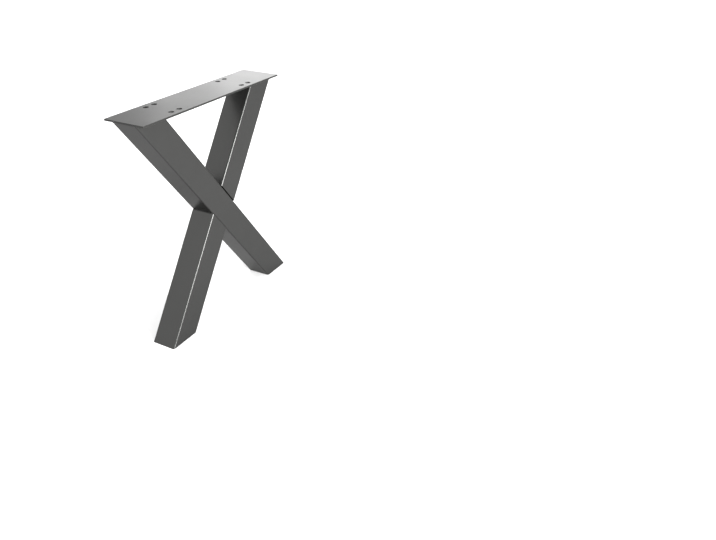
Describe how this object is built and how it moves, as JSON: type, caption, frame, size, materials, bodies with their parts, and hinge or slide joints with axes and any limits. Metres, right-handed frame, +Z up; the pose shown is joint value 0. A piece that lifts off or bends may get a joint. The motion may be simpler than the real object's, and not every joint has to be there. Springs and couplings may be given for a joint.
{
  "type": "x shaped table leg",
  "caption": "Welded X shaped table leg of square steel tube, with a drilled mounting plate on top that screws under a table top.",
  "frame": {"origin": "on the floor, under the middle of the mounting plate", "axes": "+X along the mounting plate's long edge, +Y across the leg, +Z up; the X of the leg lies in the XZ plane, and the unbroken diagonal runs from the plate at the -X end to the floor at the +X end"},
  "size_m": [0.564, 0.13, 0.67],
  "materials": {
    "coated_steel": "satin dark grey coating on steel",
    "coated_weld": "the same coating over the weld seams"
  },
  "bodies": {
    "root": {"mounting_plate": "coated_steel", "through_tube": "coated_steel", "upper_half_tube": "coated_steel", "lower_half_tube": "coated_steel", "through_tube_foot_plate": "coated_steel", "half_tube_foot_plate": "coated_steel", "upper_joint_inner_weld": "coated_weld", "upper_joint_outer_weld": "coated_weld", "lower_joint_inner_weld": "coated_weld", "lower_joint_outer_weld": "coated_weld", "through_tube_top_weld": "coated_weld", "half_tube_top_weld": "coated_weld"}
  },
  "joints": []
}
